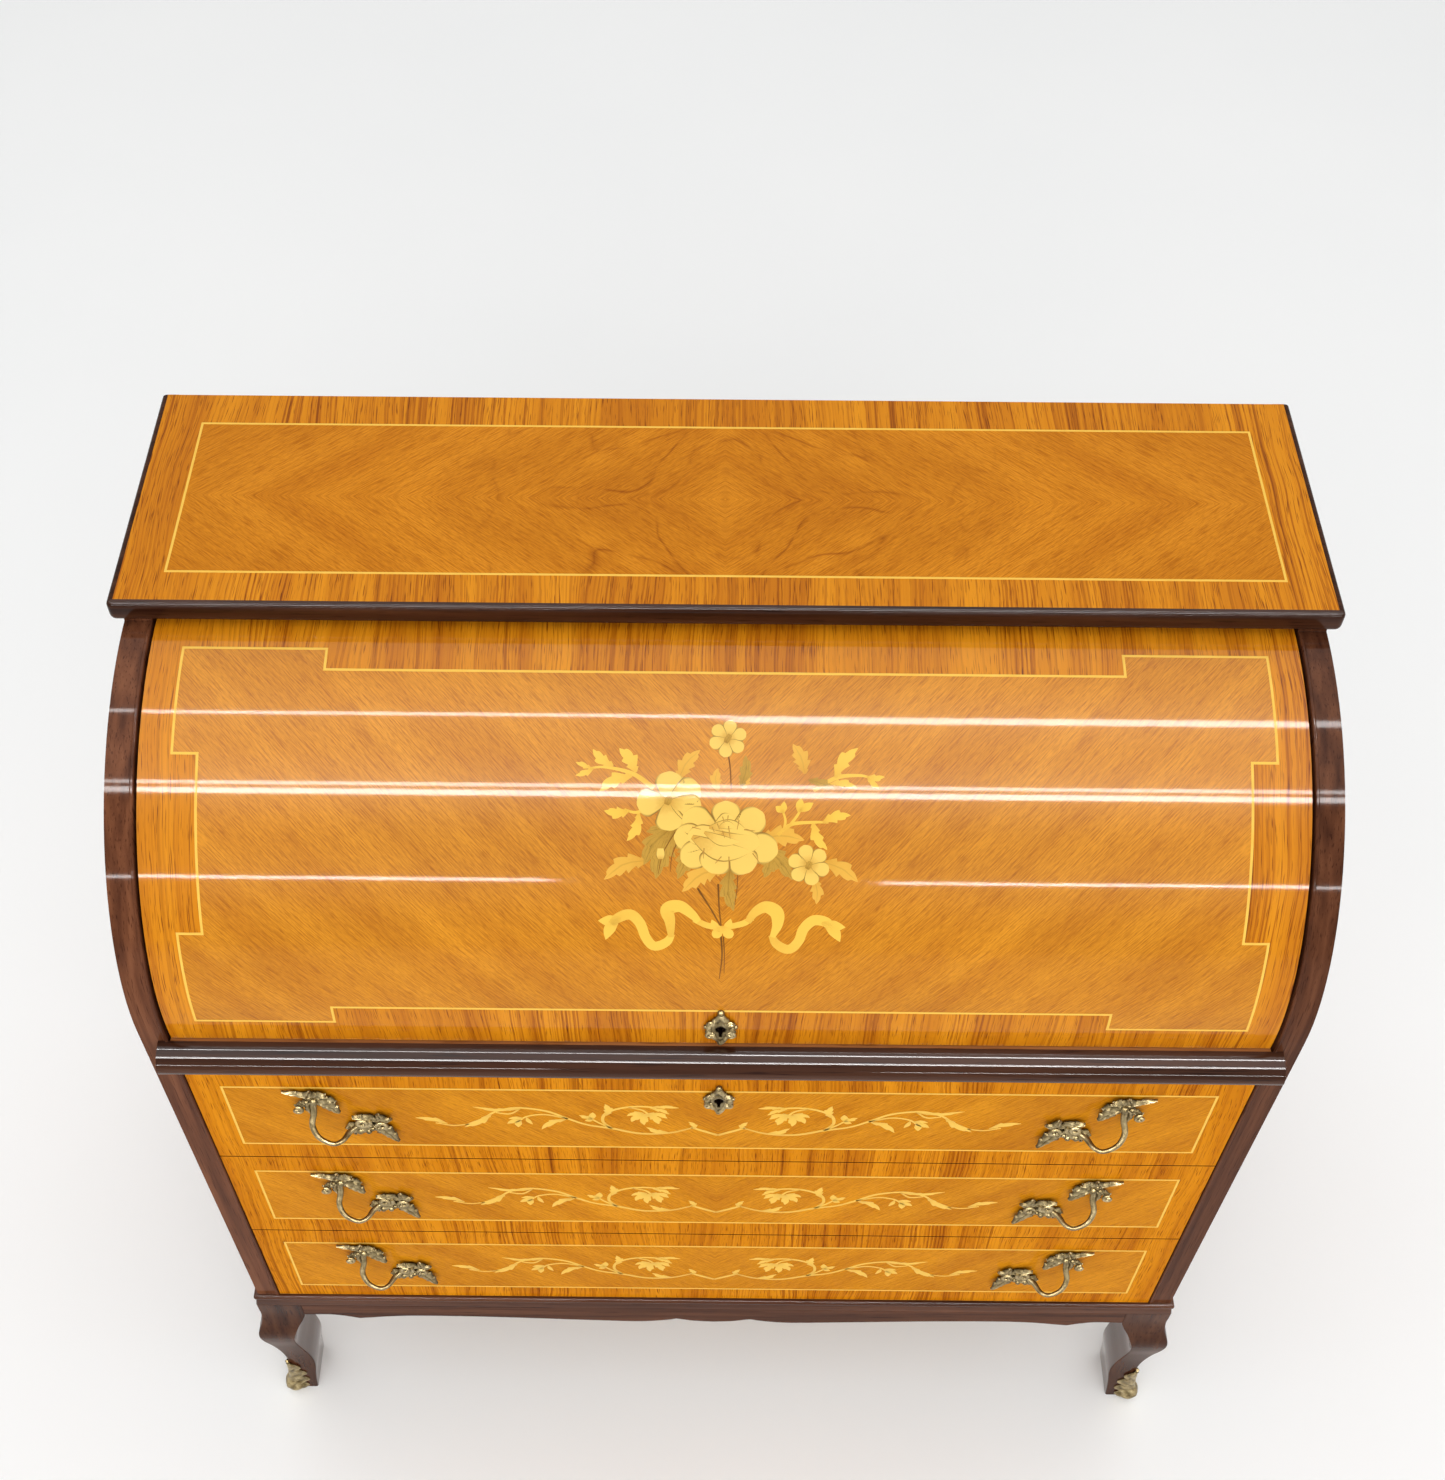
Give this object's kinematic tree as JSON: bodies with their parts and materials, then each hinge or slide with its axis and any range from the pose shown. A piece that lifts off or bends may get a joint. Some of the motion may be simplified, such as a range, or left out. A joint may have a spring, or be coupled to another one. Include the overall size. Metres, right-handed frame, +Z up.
{
  "type": "roll top desk",
  "caption": "Cylinder roll top desk in inlaid veneer on short cabriole legs, with a pull-out writing slide, pigeonholes and long drawers with brass pulls.",
  "frame": {"origin": "on the floor under the middle of the desk's bounding box", "axes": "+Z up, -Y towards the person who sits at the desk, +X to that person's right"},
  "size_m": [1.0566, 0.5382, 1.15],
  "materials": {
    "veneer": "gloss lacquered golden veneer",
    "mahogany": "gloss lacquered dark red-brown wood",
    "lining": "satin pale lining wood",
    "interior": "satin red-brown wood",
    "brass": "antique brass",
    "steel": "satin steel",
    "leather": "smooth leather"
  },
  "bodies": {
    "carcass": {"top_panel": "veneer", "top_edging": "mahogany", "side_right": "mahogany", "side_left": "mahogany", "back_panel": "lining", "bottom_board": "lining", "waist_rail": "mahogany", "drawer_rails": "lining", "drawer_runners": "lining", "slide_runners": "lining", "base_moulding": "mahogany", "leg_front_right": "mahogany", "leg_front_left": "mahogany", "leg_rear_right": "mahogany", "leg_rear_left": "mahogany", "sabots": "brass", "front_apron": "mahogany", "side_aprons": "mahogany", "back_apron": "mahogany", "pivot_pins": "brass", "case_floor": "interior", "case_boards": "interior", "case_back": "lining", "case_dividers": "interior"},
    "cylinder": {"cylinder_front": "veneer", "cylinder_arm_right": "lining", "cylinder_arm_left": "lining", "cylinder_escutcheon": "brass", "cylinder_lock": "steel"},
    "slide": {"writing_slide": "interior", "writing_leather": "leather", "slide_nosing": "mahogany"},
    "drawer_1": {"drawer_1_front": "veneer", "drawer_1_box": "lining", "drawer_1_floor": "lining", "drawer_1_pull_right": "brass", "drawer_1_pull_left": "brass", "drawer_1_lock": "steel", "drawer_1_escutcheon": "brass"},
    "drawer_2": {"drawer_2_front": "veneer", "drawer_2_box": "lining", "drawer_2_floor": "lining", "drawer_2_pull_right": "brass", "drawer_2_pull_left": "brass"},
    "drawer_3": {"drawer_3_front": "veneer", "drawer_3_box": "lining", "drawer_3_floor": "lining", "drawer_3_pull_right": "brass", "drawer_3_pull_left": "brass"},
    "drawer_bolt": {"drawer_1_bolt": "steel"},
    "inner_1": {"inner_drawer_1": "interior", "inner_knob_1": "brass"},
    "inner_2": {"inner_drawer_2": "interior", "inner_knob_2": "brass"},
    "inner_3": {"inner_drawer_3": "interior", "inner_knob_3": "brass"}
  },
  "joints": [
    {"name": "cylinder_roll", "type": "hinge", "parent": "carcass", "child": "cylinder", "pos_m": [0, 0.019, 0.864], "axis": [-1, 0, 0], "range_deg": [0, 68]},
    {"name": "slide_pull", "type": "slide", "parent": "carcass", "child": "slide", "axis": [0, -1, 0], "range_m": [0, 0.22]},
    {"name": "drawer_1_pull", "type": "slide", "parent": "carcass", "child": "drawer_1", "axis": [0, -1, 0], "range_m": [0, 0.32]},
    {"name": "drawer_2_pull", "type": "slide", "parent": "carcass", "child": "drawer_2", "axis": [0, -1, 0], "range_m": [0, 0.32]},
    {"name": "drawer_3_pull", "type": "slide", "parent": "carcass", "child": "drawer_3", "axis": [0, -1, 0], "range_m": [0, 0.32]},
    {"name": "drawer_bolt_throw", "type": "slide", "parent": "drawer_1", "child": "drawer_bolt", "axis": [0, 0, 1], "range_m": [0, 0.012]},
    {"name": "inner_1_pull", "type": "slide", "parent": "carcass", "child": "inner_1", "axis": [0, -1, 0], "range_m": [0, 0.1]},
    {"name": "inner_2_pull", "type": "slide", "parent": "carcass", "child": "inner_2", "axis": [0, -1, 0], "range_m": [0, 0.1]},
    {"name": "inner_3_pull", "type": "slide", "parent": "carcass", "child": "inner_3", "axis": [0, -1, 0], "range_m": [0, 0.1]}
  ]
}
